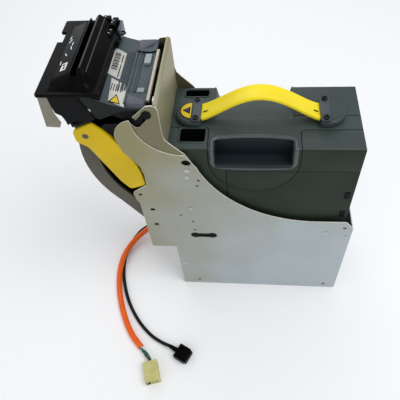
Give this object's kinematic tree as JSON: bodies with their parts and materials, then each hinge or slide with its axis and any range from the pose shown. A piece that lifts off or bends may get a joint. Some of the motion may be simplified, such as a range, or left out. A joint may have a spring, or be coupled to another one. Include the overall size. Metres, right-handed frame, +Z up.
{
  "type": "bill validator",
  "caption": "Bill validator with a swing-open note head, yellow release levers, steel side plates, a belt drive and stacker base, and a lift-out cassette with a strap handle.",
  "frame": {"origin": "centre of the underside of the base pan, on the surface that the unit stands on", "axes": "+Z up from the base towards the head, +X from the head towards the cassette, +Y across the notes"},
  "size_m": [0.3017, 0.2504, 0.3525],
  "materials": {
    "zinc_sheet": "zinc-plated sheet, satin",
    "steel": "plain satin",
    "rubber": "matt",
    "roller": "matt",
    "brass": "machined",
    "nylon_white": "matt",
    "circuit_board": "lacquered board",
    "black_plastic": "fine texture",
    "black_gloss": "polished",
    "smoke_window": "tinted, polished",
    "orange_sheath": "slightly glossy sheath",
    "wire_sheath": "wire insulation",
    "cream_nylon": "moulded nylon",
    "cassette_plastic": "fine moulded grain",
    "yellow_plastic": "satin gloss",
    "screw_black": "black oxide",
    "cover_plastic": "fine moulded grain",
    "light_plastic": "smooth",
    "satin_bar": "brushed",
    "grey_plastic": "satin moulding"
  },
  "bodies": {
    "chassis": {"side_plate_front": "zinc_sheet", "side_plate_rear": "zinc_sheet", "hook_plate_front": "zinc_sheet", "hook_plate_rear": "zinc_sheet", "base_pan": "zinc_sheet", "end_wall": "zinc_sheet", "column_floor": "zinc_sheet", "bay_wall": "zinc_sheet", "path_outer_guide": "steel", "path_inner_guide": "black_plastic", "transport_deck": "steel", "transport_belts": "rubber", "shaft_bearings": "black_plastic", "transport_motor": "steel", "main_board": "circuit_board", "side_connector": "black_plastic", "chassis_rivets": "steel", "stacker_frame": "steel", "stacker_motor": "steel", "cord_gland": "black_plastic", "orange_cord": "orange_sheath", "orange_pigtail": "wire_sheath", "orange_plug": "cream_nylon", "black_cord": "rubber", "black_plug": "black_plastic"},
    "drive_shaft": {"drive_shaft": "roller"},
    "idler_shaft": {"idler_shaft": "roller"},
    "transport_pinion": {"transport_pinion": "brass"},
    "motor_gear": {"motor_gear": "brass"},
    "pinion_shaft": {"pinion_shaft": "nylon_white"},
    "pusher": {"pusher_plate": "nylon_white"},
    "cassette": {"cassette_front": "cassette_plastic", "cassette_rear": "cassette_plastic", "cassette_roof": "cassette_plastic", "grip_pocket": "cassette_plastic", "corner_wells": "black_plastic", "handle_pads": "cassette_plastic", "handle_strap": "yellow_plastic", "handle_brackets": "steel", "handle_screws": "screw_black", "door_clips": "black_plastic", "follower_spring": "steel"},
    "end_door": {"end_door": "cassette_plastic"},
    "follower": {"follower_plate": "nylon_white"},
    "head": {"head_housing": "black_plastic", "head_cover": "cover_plastic", "head_trim": "light_plastic", "hinge_arms": "black_plastic", "release_bar": "satin_bar", "bezel_flange": "black_gloss", "bezel_lip": "black_gloss", "bezel_window": "smoke_window", "head_board": "circuit_board", "guide_shell": "grey_plastic", "guide_skin": "black_plastic", "rear_socket": "black_plastic"},
    "head_drive": {"head_drive_roller": "roller"},
    "head_idler": {"head_idler_roller": "roller"},
    "lever_front": {"lever_front": "yellow_plastic"},
    "lever_rear": {"lever_rear": "yellow_plastic"}
  },
  "joints": [
    {"name": "head_swing", "type": "hinge", "parent": "chassis", "child": "head", "pos_m": [-0.104, 0, 0.3112], "axis": [0, 1, 0], "range_deg": [0, 35]},
    {"name": "lever_front_swing", "type": "hinge", "parent": "head", "child": "lever_front", "pos_m": [-0.166, -0.0485, 0.285], "axis": [0, 1, 0], "range_deg": [0, 25], "stiffness_Nm_per_rad": 0.06, "springref_deg": -22.92},
    {"name": "lever_rear_swing", "type": "hinge", "parent": "head", "child": "lever_rear", "pos_m": [-0.166, 0.0485, 0.285], "axis": [0, 1, 0], "range_deg": [0, 25], "stiffness_Nm_per_rad": 0.06, "springref_deg": -22.92},
    {"name": "head_drive_turn", "type": "hinge", "parent": "head", "child": "head_drive", "pos_m": [-0.155, 0, 0.315], "axis": [0, 1, 0], "continuous": true},
    {"name": "head_idler_turn", "type": "hinge", "parent": "head", "child": "head_idler", "pos_m": [-0.1679, 0, 0.315], "axis": [0, 1, 0], "continuous": true},
    {"name": "cassette_slide", "type": "slide", "parent": "chassis", "child": "cassette", "axis": [0, 0, 1], "range_m": [0, 0.24]},
    {"name": "end_door_swing", "type": "hinge", "parent": "cassette", "child": "end_door", "pos_m": [0.0912, 0.0402, 0.193], "axis": [0, 0, 1], "range_deg": [0, 100]},
    {"name": "follower_slide", "type": "slide", "parent": "cassette", "child": "follower", "axis": [0, 0, 1], "range_m": [0, 0.12], "stiffness_N_per_m": 15, "springref_m": -0.1, "deforming": ["follower_spring"]},
    {"name": "pusher_slide", "type": "slide", "parent": "chassis", "child": "pusher", "axis": [0, 0, 1], "range_m": [0, 0.024]},
    {"name": "pinion_turn", "type": "hinge", "parent": "chassis", "child": "pinion_shaft", "pos_m": [-0.012, 0, 0.044], "axis": [0, 1, 0], "range_deg": [-117, 1]},
    {"name": "motor_gear_turn", "type": "hinge", "parent": "chassis", "child": "motor_gear", "pos_m": [-0.036, 0.033, 0.044], "axis": [0, 1, 0], "range_deg": [-2, 346]},
    {"name": "drive_shaft_turn", "type": "hinge", "parent": "chassis", "child": "drive_shaft", "pos_m": [-0.076, 0, 0.0725], "axis": [0, 1, 0], "continuous": true},
    {"name": "idler_shaft_turn", "type": "hinge", "parent": "chassis", "child": "idler_shaft", "pos_m": [0.082, 0, 0.0725], "axis": [0, 1, 0], "continuous": true},
    {"name": "transport_pinion_turn", "type": "hinge", "parent": "chassis", "child": "transport_pinion", "pos_m": [-0.076, 0.0476, 0.0545], "axis": [0, 1, 0], "continuous": true}
  ],
  "couplings": [
    {"joint": "head_idler_turn", "follows": "head_drive_turn", "ratio": -0.90909},
    {"joint": "idler_shaft_turn", "follows": "drive_shaft_turn", "ratio": 1},
    {"joint": "transport_pinion_turn", "follows": "drive_shaft_turn", "ratio": -2},
    {"joint": "pinion_turn", "follows": "pusher_slide", "rad_per_m": -83.333},
    {"joint": "motor_gear_turn", "follows": "pusher_slide", "rad_per_m": 250}
  ]
}
